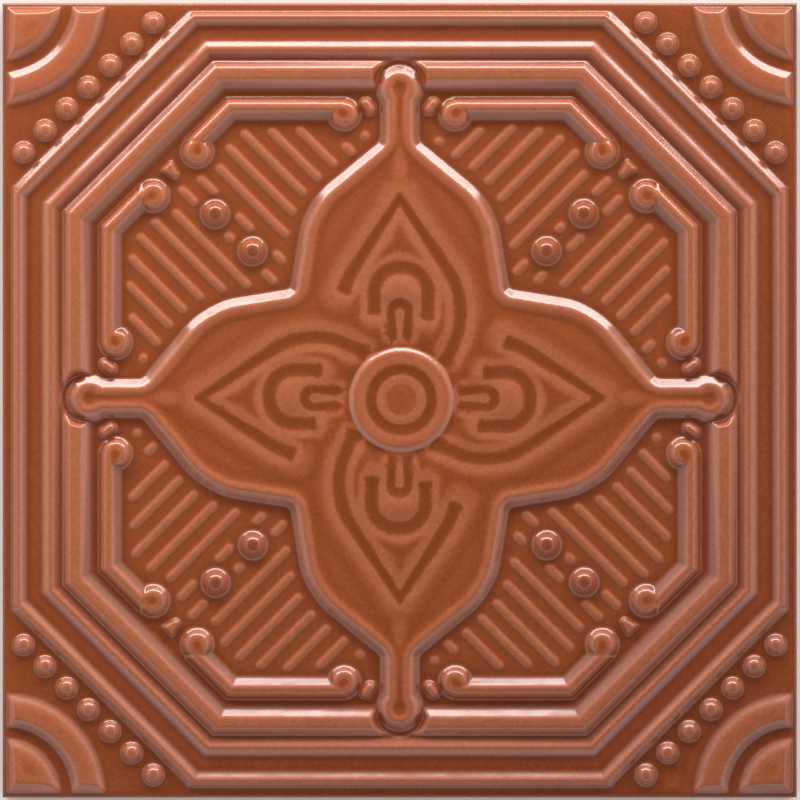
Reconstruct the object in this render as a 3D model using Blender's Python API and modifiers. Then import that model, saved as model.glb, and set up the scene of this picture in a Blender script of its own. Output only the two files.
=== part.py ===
"""Square relief tile: one piece of clay, pressed face up in a mould, glazed on its face and fired.

It lies on its plain back. An eight-sided moulded frame holds a flower of four petals, eight
brackets with round ends and eight beads. Each corner has a row of beads and two round steps.
"""

import math

import bmesh
import bpy

# Clay body, with heights measured from its back
SIDE = 0.200
EDGE_HEIGHT = 0.0076
FLOOR_HEIGHT = 0.0070
EDGE_ROUNDING = 0.0008
BACK_CHAMFER = 0.0006

# How deep a raised form is rooted in the clay below it, and how far down its slope starts
ROOT = 0.0012
SINK = 0.0004

# A slope's lower, steeper part: its share of the slope's width and of its rise
STEEP_SHARE = 0.55
STEEP_RISE = 0.74

# Frame: how far each moulding lies in from the tile's edge
CORNER_CUT = 0.0084
RAIL_IN = 0.0043
RAIL_WIDTH = 0.0050
RAIL_HEIGHT = 0.0095
RAIL_FACETS = 6
COVE_IN = 0.0083
COVE_HEIGHT = 0.0078
COVE_FACETS = 5
LIP_IN = 0.0123
LIP_WIDTH = 0.0018
LIP_HEIGHT = 0.0094
BAND_IN = 0.0171
BAND_WIDTH = 0.0040
BAND_HEIGHT = 0.0094
GROOVE_HEIGHT = 0.0079
FRAME_SLOPE = 0.0018

# Flower: half widths and reaches of its foot from the middle
CREST_HEIGHT = 0.0100
DISH_HEIGHT = 0.0090
FLOWER_SLOPE = 0.0020
CREST_WIDTH = 0.0016
KNOB_REACH = 0.0779
KNOB_RADIUS = 0.0062
KNOB_FACETS = 12
NECK_HALF = 0.0051
SHOULDER_REACH = 0.0530
SHOULDER_ANGLE = math.radians(50.0)
FLANK_REACH = 0.0315
FLANK_ANGLE = math.radians(8.5)
NECK_FILLET = 0.0020
SHOULDER_FILLET = 0.0088
FLANK_FILLET = 0.0010
FILLET_FACETS = 4
NOTCH_RADIUS = 0.0073
NOTCH_FACETS = 20

# Raised cheek of each petal, which carries the grooves
CHEEK_HEIGHT = 0.0098
CHEEK_SLOPE = 0.0026
CHEEK_CORNERS = (
    # across, up from the middle, rounding of the flat top
    (-0.0090, 0.0120, 0.0),
    (-0.0196, 0.0225, 0.0014),
    (-0.0176, 0.0330, 0.0034),
    (0.0000, 0.0590, 0.0006),
    (0.0225, 0.0285, 0.0124),
    (0.0150, 0.0070, 0.0),
)

# Grooves cut in the cheek
GROOVE_RADIUS = 0.0017
GROOVE_RISE = 0.0005
CHEVRON_PATH = (
    (-0.01445, 0.0266, 0.0),
    (-0.0130, 0.0322, 0.0110),
    (0.0000, 0.0503, 0.0006),
    (0.01735, 0.0266, 0.0176),
    (0.01155, 0.0105, 0.0),
)
ARCH_REACH = 0.0250
ARCH_RADIUS = 0.0073
ARCH_LEGS = 0.0037
EYE_REACH = 0.0212
EYE_RADIUS = 0.0026
EYE_LEGS = 0.0050
EYE_GROOVE_RADIUS = 0.0014
BEND_FACETS = 5
ARCH_FACETS = 8
EYE_FACETS = 6

# Hub in the middle of the flower
HUB_RADIUS = 0.0142
HUB_SLOPE = 0.0015
HUB_CHANNEL_OUTER = 0.0094
HUB_CHANNEL_INNER = 0.0055
HUB_CHANNEL_FLOOR = 0.0018
HUB_CHANNEL_HEIGHT = 0.0086
HUB_RING_TOP = 0.0029
HUB_DISC_HEIGHT = 0.0098
HUB_DISC_DIP = 0.0004
HUB_FACETS = 28

# Brackets: a bar along the frame with a round end at the petal and one near the frame's corner
BRACKET_IN = 0.0242
BRACKET_WIDTH = 0.0050
BRACKET_HEIGHT = 0.0095
BRACKET_SLOPE = 0.0015
KNUCKLE_RADIUS = 0.0052
KNUCKLE_NEAR = 0.0140
KNUCKLE_FAR = 0.0082
KNUCKLE_FACETS = 11

# Small studs left between the round ends
STUD_HEIGHT = 0.0092
STUD_SLOPE = 0.0011
STUD_FROM = (0.0074, 0.0722)
STUD_TO = (0.0092, 0.0748)
STUD_RADIUS = 0.0020
STUD_FACETS = 4
WEDGE_REACH = 0.0836
WEDGE_HALF = 0.0034
WEDGE_WAIST_IN = 0.0027
WEDGE_WAIST_HALF = 0.0016
WEDGE_DEPTH = 0.0066
WEDGE_TIP_HALF = 0.0014

# Beads
BEAD_RADIUS = 0.0038
BEAD_HEIGHT = 0.0095
BEAD_SLOPE = 0.0010
BEAD_FACETS = 14
BEAD_REACHES = (0.0522, 0.0653)
CORNER_BEAD_RADIUS = 0.0029
CORNER_BEAD_HEIGHT = 0.0091
CORNER_BEAD_SLOPE = 0.0011
CORNER_BEAD_FACETS = 10
CORNER_BEAD_COUNT = 7
CORNER_BEAD_PITCH = 0.0077
CORNER_BEAD_IN = 0.0304

# Round steps at each corner, centred on it
STEP_EDGE = 0.0022
STEP_HEIGHT = 0.0090
STEP_SLOPE = 0.0016
DISC_RADIUS = 0.0146
RING_INNER = 0.0172
RING_OUTER = 0.0269
STEP_FACETS = 8

# Upper end of every upright cutter, clear of the relief
CUTTER_TOP = CREST_HEIGHT + ROOT

SHARP_ANGLE = math.radians(35)
GLAZE_COLOUR = (0.28, 0.075, 0.026, 1.0)
GLAZE_ROUGHNESS = 0.15

QUARTERS = [math.radians(90 * turn) for turn in range(4)]


def turned(points, angle):
    """Points turned about the middle of the tile."""
    c = math.cos(angle)
    s = math.sin(angle)
    return [(x * c - y * s, x * s + y * c) for x, y in points]


def mirrored(points):
    """Points mirrored across the diagonal, in an order that keeps their direction."""
    return [(y, x) for x, y in reversed(points)]


def arc(centre, radius, start, end, count):
    """Points along an arc, both ends included, with angles in degrees."""
    points = []
    for i in range(count + 1):
        angle = math.radians(start + (end - start) * i / count)
        points.append((centre[0] + radius * math.cos(angle), centre[1] + radius * math.sin(angle)))
    return points


def meeting(angle_a, reach_a, angle_b, reach_b):
    """Where two lines meet, each given by its normal's angle and its distance from the middle."""
    across = math.sin(angle_b - angle_a)
    x = (reach_a * math.sin(angle_b) - reach_b * math.sin(angle_a)) / across
    y = (reach_b * math.cos(angle_a) - reach_a * math.cos(angle_b)) / across
    return (x, y)


def rounded(corners, count, closed):
    """A path through (x, y, rounding) corners, each corner turned on an arc of its rounding."""
    last = len(corners) - 1
    points = []
    for i, (x, y, radius) in enumerate(corners):
        if radius == 0 or (not closed and i in (0, last)):
            points.append((x, y))
            continue
        before = corners[i - 1]
        after = corners[0 if i == last else i + 1]
        back = math.atan2(before[1] - y, before[0] - x)
        ahead = math.atan2(after[1] - y, after[0] - x)
        opening = (ahead - back + math.pi) % (2 * math.pi) - math.pi
        half = abs(opening) / 2
        middle = back + opening / 2
        from_corner = radius / math.sin(half)
        centre = (x + from_corner * math.cos(middle), y + from_corner * math.sin(middle))
        sweep = math.copysign(math.pi - 2 * half, opening)
        start = middle + math.pi + sweep / 2
        points += arc(centre, radius, math.degrees(start), math.degrees(start - sweep), count)
    return points


def collection(name):
    """A new collection in the scene."""
    made = bpy.data.collections.new(name)
    bpy.context.scene.collection.children.link(made)
    return made


def helper(name, bm, group):
    """A mesh object used only to shape the tile: its normals face out and it never renders."""
    bmesh.ops.recalc_face_normals(bm, faces=bm.faces)
    mesh = bpy.data.meshes.new(name)
    bm.to_mesh(mesh)
    bm.free()
    made = bpy.data.objects.new(name, mesh)
    group.objects.link(made)
    made.hide_render = True
    made.display_type = "WIRE"
    return made


def pressed(name, outline, root, steps, group):
    """A raised form: an outline at its root, then steps of (how far further in, height) up to its top."""
    bm = bmesh.new()
    bottom = bm.faces.new([bm.verts.new((x, y, root)) for x, y in outline])
    if bottom.normal.z < 0:
        bottom.normal_flip()
    made = bmesh.ops.extrude_face_region(bm, geom=[bottom], use_keep_orig=True)
    top = [part for part in made["geom"] if isinstance(part, bmesh.types.BMFace)][0]
    for inset, height in steps:
        if inset > 0:
            bmesh.ops.inset_region(bm, faces=[top], thickness=inset, use_even_offset=True)
        for vertex in top.verts:
            vertex.co.z = height
    return helper(name, bm, group)


def sloped(stands_on, top, slope):
    """Steps up the side of a raised form: steep at first, then easing over to its top."""
    return (
        (0.0, stands_on - SINK),
        (slope * STEEP_SHARE, stands_on + (top - stands_on) * STEEP_RISE),
        (slope * (1 - STEEP_SHARE), top),
    )


def octagon(inwards):
    """The frame's eight-sided line, this far in from the tile's edge."""
    side = SIDE / 2 - inwards
    corner = (side + CORNER_CUT) * math.sqrt(2) - side
    quarter = [(corner, side), (side, corner)]
    return [point for angle in QUARTERS for point in reversed(turned(quarter, angle))]


def clay_body(group):
    """The square slab with its rounded upper edges and its chamfered back."""
    bm = bmesh.new()
    bmesh.ops.create_cube(bm, size=1.0)
    bmesh.ops.scale(bm, vec=(SIDE, SIDE, EDGE_HEIGHT), verts=bm.verts)
    bmesh.ops.translate(bm, vec=(0, 0, EDGE_HEIGHT / 2), verts=bm.verts)
    upper = [edge for edge in bm.edges if all(v.co.z > EDGE_HEIGHT / 2 for v in edge.verts)]
    lower = [edge for edge in bm.edges if all(v.co.z < EDGE_HEIGHT / 2 for v in edge.verts)]
    bmesh.ops.bevel(bm, geom=upper, offset=EDGE_ROUNDING, segments=2, profile=0.5, affect="EDGES")
    bmesh.ops.bevel(bm, geom=lower, offset=BACK_CHAMFER, segments=1, profile=0.5, affect="EDGES")
    bmesh.ops.recalc_face_normals(bm, faces=bm.faces)
    mesh = bpy.data.meshes.new("relief_tile")
    bm.to_mesh(mesh)
    bm.free()
    made = bpy.data.objects.new("relief_tile", mesh)
    group.objects.link(made)
    return made


def cove_height(line):
    """Height of the hollow between rail and lip, this far in from the tile's edge."""
    share = (line - COVE_IN) / (LIP_IN - COVE_IN)
    return COVE_HEIGHT + (LIP_HEIGHT - COVE_HEIGHT) * share**2


def frame_section():
    """The frame's section from the foot of its rail to the floor, as (in from the edge, height)."""
    points = []
    half = RAIL_WIDTH / 2
    for i in range(RAIL_FACETS + 1):
        turn = math.pi * i / RAIL_FACETS
        low = EDGE_HEIGHT - SINK if turn < math.pi / 2 else cove_height(RAIL_IN + half)
        points.append((RAIL_IN - half * math.cos(turn), low + (RAIL_HEIGHT - low) * math.sin(turn)))
    cove_from = RAIL_IN + half
    for i in range(1, COVE_FACETS + 1):
        line = cove_from + (LIP_IN - cove_from) * i / COVE_FACETS
        points.append((line, cove_height(line)))
    lip_drop = LIP_HEIGHT - GROOVE_HEIGHT
    points.append((LIP_IN + LIP_WIDTH * (1 - STEEP_SHARE), GROOVE_HEIGHT + lip_drop * STEEP_RISE))
    points.append((LIP_IN + LIP_WIDTH, GROOVE_HEIGHT))
    ease = FRAME_SLOPE * (1 - STEEP_SHARE)
    band_end = BAND_IN + BAND_WIDTH
    points.append((BAND_IN - FRAME_SLOPE, GROOVE_HEIGHT))
    points.append((BAND_IN - ease, GROOVE_HEIGHT + (BAND_HEIGHT - GROOVE_HEIGHT) * STEEP_RISE))
    points.append((BAND_IN, BAND_HEIGHT))
    points.append((band_end, BAND_HEIGHT))
    points.append((band_end + ease, FLOOR_HEIGHT + (BAND_HEIGHT - FLOOR_HEIGHT) * STEEP_RISE))
    points.append((band_end + FRAME_SLOPE, FLOOR_HEIGHT))
    return points


def frame_form(group):
    """The frame with the floor inside it, stepped inwards along its section."""
    section = frame_section()
    steps = [(0.0, section[0][1])]
    for (before, _), (line, height) in zip(section, section[1:]):
        steps.append((line - before, height))
    return pressed("frame", octagon(section[0][0]), FLOOR_HEIGHT - ROOT, steps, group)


def flower_outline():
    """The flower's foot: four petals, each a round knob on a neck, sloping shoulders and flanks."""
    neck_turn = meeting(0.0, NECK_HALF, SHOULDER_ANGLE, SHOULDER_REACH)
    shoulder = meeting(SHOULDER_ANGLE, SHOULDER_REACH, FLANK_ANGLE, FLANK_REACH)
    valley = meeting(FLANK_ANGLE, FLANK_REACH, math.pi / 2 - FLANK_ANGLE, FLANK_REACH)
    knob_end = math.degrees(math.acos(NECK_HALF / KNOB_RADIUS))
    knob = arc((0.0, KNOB_REACH), KNOB_RADIUS, 180 + knob_end, -knob_end, KNOB_FACETS)
    petal = [(x, y, 0.0) for x, y in knob]
    petal.append((*neck_turn, NECK_FILLET))
    petal.append((*shoulder, SHOULDER_FILLET))
    petal.append((*valley, FLANK_FILLET))
    left = [(-x, y, radius) for x, y, radius in reversed(petal[-3:-1])]
    corners = []
    for angle in reversed(QUARTERS):
        for x, y, radius in left + petal:
            (place,) = turned([(x, y)], angle)
            corners.append((*place, radius))
    return rounded(corners, FILLET_FACETS, True)


def cheek_outline():
    """The foot of a petal's cheek, rounded by its slope more than its flat top is."""
    corners = [(x, y, radius + CHEEK_SLOPE if radius else 0.0) for x, y, radius in CHEEK_CORNERS]
    return rounded(corners, FILLET_FACETS, True)


def bracket_outline():
    """One bracket's foot, right of the upper petal: bar, bend and bar, with a knuckle at each end."""
    outer = SIDE / 2 - BRACKET_IN
    inner = outer - BRACKET_WIDTH
    outer_cut = outer + CORNER_CUT
    inner_cut = inner + CORNER_CUT
    diagonal = math.pi / 4
    outer_bend = meeting(math.pi / 2, outer, diagonal, outer_cut)
    inner_bend = meeting(math.pi / 2, inner, diagonal, inner_cut)
    near = (KNUCKLE_NEAR, outer - KNUCKLE_RADIUS)
    far_line = outer_cut - KNUCKLE_RADIUS
    far = (
        (far_line - KNUCKLE_FAR) * math.sqrt(0.5),
        (far_line + KNUCKLE_FAR) * math.sqrt(0.5),
    )
    far_sink = math.degrees(math.asin((inner_cut - far_line) / KNUCKLE_RADIUS))
    near_sink = math.degrees(math.asin((inner - near[1]) / KNUCKLE_RADIUS))
    points = [outer_bend]
    points += arc(far, KNUCKLE_RADIUS, 45, -225 - far_sink, KNUCKLE_FACETS)
    points.append(inner_bend)
    points += arc(near, KNUCKLE_RADIUS, near_sink, -270, KNUCKLE_FACETS)
    return points


def wedge_outline():
    """The foot of the small wedge between two far knuckles, in the upper right corner."""
    along = (
        (WEDGE_REACH, WEDGE_HALF),
        (WEDGE_REACH - WEDGE_WAIST_IN, WEDGE_WAIST_HALF),
        (WEDGE_REACH - WEDGE_DEPTH, WEDGE_TIP_HALF),
    )
    slant = math.sqrt(0.5)
    side = [((out - off) * slant, (out + off) * slant) for out, off in along]
    return side + mirrored(side)


def stud_outline():
    """The foot of the slanting stud right of the upper petal's neck."""
    slant = math.degrees(math.atan2(STUD_TO[1] - STUD_FROM[1], STUD_TO[0] - STUD_FROM[0]))
    lower = arc(STUD_FROM, STUD_RADIUS, slant - 90, slant - 270, STUD_FACETS)
    upper = arc(STUD_TO, STUD_RADIUS, slant + 90, slant - 90, STUD_FACETS)
    return lower + upper


def corner_arc(radius):
    """An arc round the tile's upper right corner, between the plain strips along both edges."""
    corner = SIDE / 2
    end = math.degrees(math.asin(STEP_EDGE / radius))
    return arc((corner, corner), radius, 180 + end, 270 - end, STEP_FACETS)


def disc_outline():
    """The quarter disc at the tile's upper right corner."""
    inmost = SIDE / 2 - STEP_EDGE
    return corner_arc(DISC_RADIUS) + [(inmost, inmost)]


def ring_outline():
    """The quarter ring round the corner disc."""
    return corner_arc(RING_INNER) + corner_arc(RING_OUTER)[::-1]


def tube(name, points, height, radius, group):
    """A round bar along a path, used as a cutter."""
    curve = bpy.data.curves.new(name, "CURVE")
    curve.dimensions = "3D"
    spline = curve.splines.new("POLY")
    spline.points.add(len(points) - 1)
    for point, (x, y) in zip(spline.points, points):
        point.co = (x, y, height, 1.0)
    curve.bevel_depth = radius
    curve.bevel_resolution = 2
    curve.use_fill_caps = True
    guide = bpy.data.objects.new(name + "_guide", curve)
    bpy.context.scene.collection.objects.link(guide)
    graph = bpy.context.evaluated_depsgraph_get()
    mesh = bpy.data.meshes.new_from_object(guide.evaluated_get(graph))
    bpy.data.objects.remove(guide)
    bm = bmesh.new()
    bm.from_mesh(mesh)
    bpy.data.meshes.remove(mesh)
    bmesh.ops.remove_doubles(bm, verts=bm.verts, dist=1e-6)
    return helper(name, bm, group)


def upright_arch(reach, radius, legs, count):
    """An arch across the petal: two short legs joined by a half circle."""
    top = arc((0.0, reach), radius, 180, 0, count)
    return [(-radius, reach - legs)] + top + [(radius, reach - legs)]


def circle(place, radius, count):
    """The points of a circle round a place."""
    return arc(place, radius, 0, 360, count)[:-1]


def hub(group):
    """The turned hub: a dished disc, a channel round it and a rounded outer ring."""
    root = DISH_HEIGHT - ROOT
    channel_middle = (HUB_CHANNEL_OUTER + HUB_CHANNEL_INNER) / 2
    ring_edge = HUB_RADIUS - HUB_SLOPE
    profile = (
        (0.0, HUB_DISC_HEIGHT - HUB_DISC_DIP),
        (HUB_CHANNEL_INNER / 2, HUB_DISC_HEIGHT - HUB_DISC_DIP * 0.75),
        (HUB_CHANNEL_INNER, HUB_DISC_HEIGHT),
        (channel_middle - HUB_CHANNEL_FLOOR / 2, HUB_CHANNEL_HEIGHT),
        (channel_middle + HUB_CHANNEL_FLOOR / 2, HUB_CHANNEL_HEIGHT),
        (HUB_CHANNEL_OUTER, HUB_CHANNEL_HEIGHT + (CREST_HEIGHT - HUB_CHANNEL_HEIGHT) * STEEP_RISE),
        (ring_edge - HUB_RING_TOP, CREST_HEIGHT),
        (ring_edge, CREST_HEIGHT),
        (HUB_RADIUS, DISH_HEIGHT),
        (HUB_RADIUS, root),
        (0.0, root),
    )
    mesh = bpy.data.meshes.new("hub_profile")
    mesh.from_pydata([(x, 0.0, z) for x, z in profile], [(i, i + 1) for i in range(len(profile) - 1)], [])
    made = bpy.data.objects.new("hub", mesh)
    group.objects.link(made)
    screw = made.modifiers.new("turned", "SCREW")
    screw.steps = HUB_FACETS
    screw.render_steps = HUB_FACETS
    screw.use_merge_vertices = True
    screw.merge_threshold = 1e-5
    made.hide_render = True
    made.display_type = "WIRE"
    return made


def add_flower(forms):
    """The flower's outline with its rounded crest and its dished field, and the four cheeks on it."""
    crest = sloped(FLOOR_HEIGHT, CREST_HEIGHT, FLOWER_SLOPE) + ((CREST_WIDTH, DISH_HEIGHT),)
    pressed("flower", flower_outline(), FLOOR_HEIGHT - ROOT, crest, forms)
    steps = sloped(DISH_HEIGHT, CHEEK_HEIGHT, CHEEK_SLOPE)
    for number, angle in enumerate(QUARTERS, 1):
        outline = turned(cheek_outline(), angle)
        pressed(f"cheek_{number}", outline, DISH_HEIGHT - ROOT, steps, forms)


def add_fields(forms):
    """What stands on the floor between frame and flower: brackets, studs, wedges and beads."""
    root = FLOOR_HEIGHT - ROOT
    bracket_steps = sloped(FLOOR_HEIGHT, BRACKET_HEIGHT, BRACKET_SLOPE)
    stud_steps = sloped(FLOOR_HEIGHT, STUD_HEIGHT, STUD_SLOPE)
    bead_steps = sloped(FLOOR_HEIGHT, BEAD_HEIGHT, BEAD_SLOPE)
    for number, angle in enumerate(QUARTERS, 1):
        pressed(f"wedge_{number}", turned(wedge_outline(), angle), root, stud_steps, forms)
        for side, points in (("a", bracket_outline()), ("b", mirrored(bracket_outline()))):
            pressed(f"bracket_{number}{side}", turned(points, angle), root, bracket_steps, forms)
        for side, points in (("a", stud_outline()), ("b", mirrored(stud_outline()))):
            pressed(f"stud_{number}{side}", turned(points, angle), root, stud_steps, forms)
        for count, reach in enumerate(BEAD_REACHES, 1):
            (place,) = turned([(reach, 0.0)], angle + math.pi / 4)
            outline = circle(place, BEAD_RADIUS, BEAD_FACETS)
            pressed(f"bead_{number}_{count}", outline, root, bead_steps, forms)


def add_corners(forms):
    """The round steps and the row of beads in each corner outside the frame."""
    root = EDGE_HEIGHT - ROOT
    step_steps = sloped(EDGE_HEIGHT, STEP_HEIGHT, STEP_SLOPE)
    bead_steps = sloped(EDGE_HEIGHT, CORNER_BEAD_HEIGHT, CORNER_BEAD_SLOPE)
    out = SIDE * math.sqrt(0.5) - CORNER_BEAD_IN
    middle = (CORNER_BEAD_COUNT - 1) / 2
    for number, angle in enumerate(QUARTERS, 1):
        pressed(f"corner_disc_{number}", turned(disc_outline(), angle), root, step_steps, forms)
        pressed(f"corner_ring_{number}", turned(ring_outline(), angle), root, step_steps, forms)
        for count in range(CORNER_BEAD_COUNT):
            along = (count - middle) * CORNER_BEAD_PITCH
            (place,) = turned([(out, along)], angle + math.pi / 4)
            outline = circle(place, CORNER_BEAD_RADIUS, CORNER_BEAD_FACETS)
            pressed(f"corner_bead_{number}_{count + 1}", outline, root, bead_steps, forms)


def add_grooves(cutters):
    """The chevron, the arch and the eye cut in each cheek."""
    height = CHEEK_HEIGHT + GROOVE_RISE
    chevron = rounded(CHEVRON_PATH, BEND_FACETS, False)
    arch = upright_arch(ARCH_REACH, ARCH_RADIUS, ARCH_LEGS, ARCH_FACETS)
    eye = upright_arch(EYE_REACH, EYE_RADIUS, EYE_LEGS, EYE_FACETS)
    for number, angle in enumerate(QUARTERS, 1):
        tube(f"chevron_{number}", turned(chevron, angle), height, GROOVE_RADIUS, cutters)
        tube(f"arch_{number}", turned(arch, angle), height, GROOVE_RADIUS, cutters)
        tube(f"eye_{number}", turned(eye, angle), height, EYE_GROOVE_RADIUS, cutters)


def add_notches(frame, notches):
    """Clears the frame's flat band round the knob of each petal."""
    for number, angle in enumerate(QUARTERS, 1):
        (place,) = turned([(0.0, KNOB_REACH)], angle)
        outline = circle(place, NOTCH_RADIUS, NOTCH_FACETS)
        notch = pressed(f"notch_{number}", outline, FLOOR_HEIGHT, ((0.0, CUTTER_TOP),), notches)
        combine(frame, f"notch_{number}", "DIFFERENCE", notch)


def combine(body, name, operation, operand):
    """A Boolean step on a body, by one object or by all of a collection."""
    step = body.modifiers.new(name, "BOOLEAN")
    step.operation = operation
    step.solver = "EXACT"
    if isinstance(operand, bpy.types.Collection):
        step.operand_type = "COLLECTION"
        step.collection = operand
    else:
        step.object = operand


def glaze():
    """The glossy reddish brown glaze over the red clay."""
    made = bpy.data.materials.new("terracotta_glaze")
    made.use_nodes = True
    shader = made.node_tree.nodes["Principled BSDF"]
    shader.inputs["Base Color"].default_value = GLAZE_COLOUR
    shader.inputs["Roughness"].default_value = GLAZE_ROUGHNESS
    shader.inputs["Metallic"].default_value = 0.0
    return made


def main():
    for old in list(bpy.data.objects):
        bpy.data.objects.remove(old)
    tile_group = collection("decorative_tile")
    forms = collection("raised_forms")
    cutters = collection("groove_cutters")
    notches = collection("wells_and_notches")
    hubs = collection("hub_form")
    tile = clay_body(tile_group)
    tile.data.materials.append(glaze())
    well_outline = octagon(RAIL_IN - RAIL_WIDTH / 2 + ROOT)
    well = pressed("well", well_outline, FLOOR_HEIGHT - SINK, ((0.0, CUTTER_TOP),), notches)
    add_grooves(cutters)
    hub_form = hub(hubs)
    frame = frame_form(forms)
    add_notches(frame, notches)
    add_flower(forms)
    add_fields(forms)
    add_corners(forms)
    combine(tile, "well", "DIFFERENCE", well)
    combine(tile, "relief", "UNION", forms)
    combine(tile, "grooves", "DIFFERENCE", cutters)
    combine(tile, "hub", "UNION", hub_form)
    tile.data.shade_smooth()
    tile.data.set_sharp_from_angle(angle=SHARP_ANGLE)


main()
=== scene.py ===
import math

import bmesh
import bpy
import numpy as np
from mathutils import Matrix, Vector


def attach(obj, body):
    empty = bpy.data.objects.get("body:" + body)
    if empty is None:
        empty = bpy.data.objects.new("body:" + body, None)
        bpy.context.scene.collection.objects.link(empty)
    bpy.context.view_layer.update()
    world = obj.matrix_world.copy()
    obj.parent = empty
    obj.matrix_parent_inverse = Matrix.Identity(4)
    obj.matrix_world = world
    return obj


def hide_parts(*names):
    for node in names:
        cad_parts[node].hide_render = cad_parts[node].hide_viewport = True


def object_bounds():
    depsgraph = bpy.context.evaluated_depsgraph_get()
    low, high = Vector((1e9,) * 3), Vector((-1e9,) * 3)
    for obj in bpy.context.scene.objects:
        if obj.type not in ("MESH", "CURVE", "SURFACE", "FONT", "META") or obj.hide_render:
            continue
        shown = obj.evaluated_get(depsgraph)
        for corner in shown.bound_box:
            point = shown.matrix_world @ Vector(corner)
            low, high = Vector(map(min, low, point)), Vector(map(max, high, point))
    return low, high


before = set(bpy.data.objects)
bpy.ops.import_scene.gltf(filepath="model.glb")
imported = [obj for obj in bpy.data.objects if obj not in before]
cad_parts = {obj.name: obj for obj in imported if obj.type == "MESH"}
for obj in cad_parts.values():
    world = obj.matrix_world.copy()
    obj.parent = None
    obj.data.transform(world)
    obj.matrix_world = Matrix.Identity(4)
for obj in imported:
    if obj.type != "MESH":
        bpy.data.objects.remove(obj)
cad_low, cad_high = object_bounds()


# Camera: a long lens looks straight down on the tile, which fills the picture. The print on the
# tile sits a little above the picture's middle.
photo_pixels = 800
pixel = 0.0002513
relief_level = 0.009
sensor_width = 36.0
focal_length = 200.0
aim = (0.3 * pixel, 0.45 * pixel)

view_width = photo_pixels * pixel
reach = view_width * focal_length / sensor_width
bpy.ops.object.select_all(action="DESELECT")
bpy.ops.object.camera_add(location=(*aim, relief_level + reach), rotation=(0, 0, 0))
camera = bpy.context.object
camera.name = "camera"
camera.data.sensor_width = sensor_width
camera.data.lens = focal_length
camera.data.clip_end = 10
bpy.context.scene.camera = camera
bpy.context.scene.view_settings.view_transform = "Standard"


# Slab and frame: the tile is pressed from red clay in a mould. Its upper face has an eight-sided
# frame. From the outside it has a round rail, a hollow, a sharp lip, a groove, a flat band and
# the floor of the field. Each section gives points of (distance in from the edge, height).
side = cad_high.x - cad_low.x
slab_top = 0.0076
floor_top = 0.0075
corner_cut = 0.0084
rail_foot = 0.0016
edge_fall = 0.0003
middle_reach = 0.02
rail_section = [
    (rail_foot, slab_top), (0.0021, 0.00764), (0.0025, 0.0078), (0.00275, 0.00805),
    (0.0034, 0.0088), (0.0036, 0.009), (0.0038, 0.00914), (0.004, 0.0092),
    (0.0042, 0.00918), (0.0044, 0.00908), (0.0046, 0.00896),
]
hollow_section = [
    (0.0061, 0.00789), (0.0064, 0.00778), (0.0068, 0.00774), (0.0084, 0.00773),
    (0.0093, 0.00776), (0.0099, 0.00786),
]
lip_section = [
    (0.0102, 0.00798), (0.01045, 0.00814), (0.01155, 0.00885), (0.0118, 0.00899),
    (0.012, 0.00907), (0.0122, 0.0091), (0.0125, 0.00902),
]
groove_section = [
    (0.0143, 0.0081), (0.0146, 0.00795), (0.01485, 0.00792), (0.0151, 0.00799),
    (0.0153, 0.00814),
]
band_section = [
    (0.01695, 0.0095), (0.0172, 0.00965), (0.0175, 0.00974), (0.0179, 0.00977),
    (0.0186, 0.00974), (0.0193, 0.0097), (0.0196, 0.00963), (0.01985, 0.00949),
]
band_foot_section = [
    (0.02175, 0.00813), (0.0221, 0.00792), (0.0225, 0.00773), (0.0229, 0.0076),
    (0.0233, 0.00752), (0.0237, floor_top),
]


def pick_faces(wanted):
    """In edit mode, selects only the faces that are wanted."""
    bm = bmesh.from_edit_mesh(bpy.context.edit_object.data)
    bpy.ops.mesh.select_mode(type="FACE")
    for face in bm.faces:
        face.select_set(wanted(face))
    bmesh.update_edit_mesh(bpy.context.edit_object.data)


def in_middle(face):
    """Says whether a face lies over the tile's middle."""
    return face.calc_center_median().xy.length < middle_reach


def press_steps(section):
    """Insets the selected faces along a section of (further in, height), from its first point."""
    for (before, low), (after, high) in zip(section, section[1:]):
        bpy.ops.mesh.inset(thickness=after - before, depth=high - low)


bpy.ops.object.select_all(action="DESELECT")
bpy.ops.mesh.primitive_plane_add(size=side, location=(0, 0, slab_top - edge_fall))
slab = bpy.context.object
slab.name = "slab_and_frame"
bpy.ops.object.mode_set(mode="EDIT")
bpy.ops.mesh.inset(thickness=rail_foot, depth=edge_fall)
for turn in range(4):
    angle = math.radians(45 + 90 * turn)
    outward = Vector((math.cos(angle), math.sin(angle), 0))
    corner_line = outward * (side / 2 - rail_foot + corner_cut)
    bpy.ops.mesh.select_all(action="SELECT")
    bpy.ops.mesh.bisect(plane_co=corner_line + Vector((0, 0, slab_top)), plane_no=outward)
pick_faces(in_middle)
outer_section = rail_section + hollow_section + lip_section
press_steps(outer_section + groove_section + band_section + band_foot_section)
bpy.ops.object.mode_set(mode="OBJECT")
framing = [slab]


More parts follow.
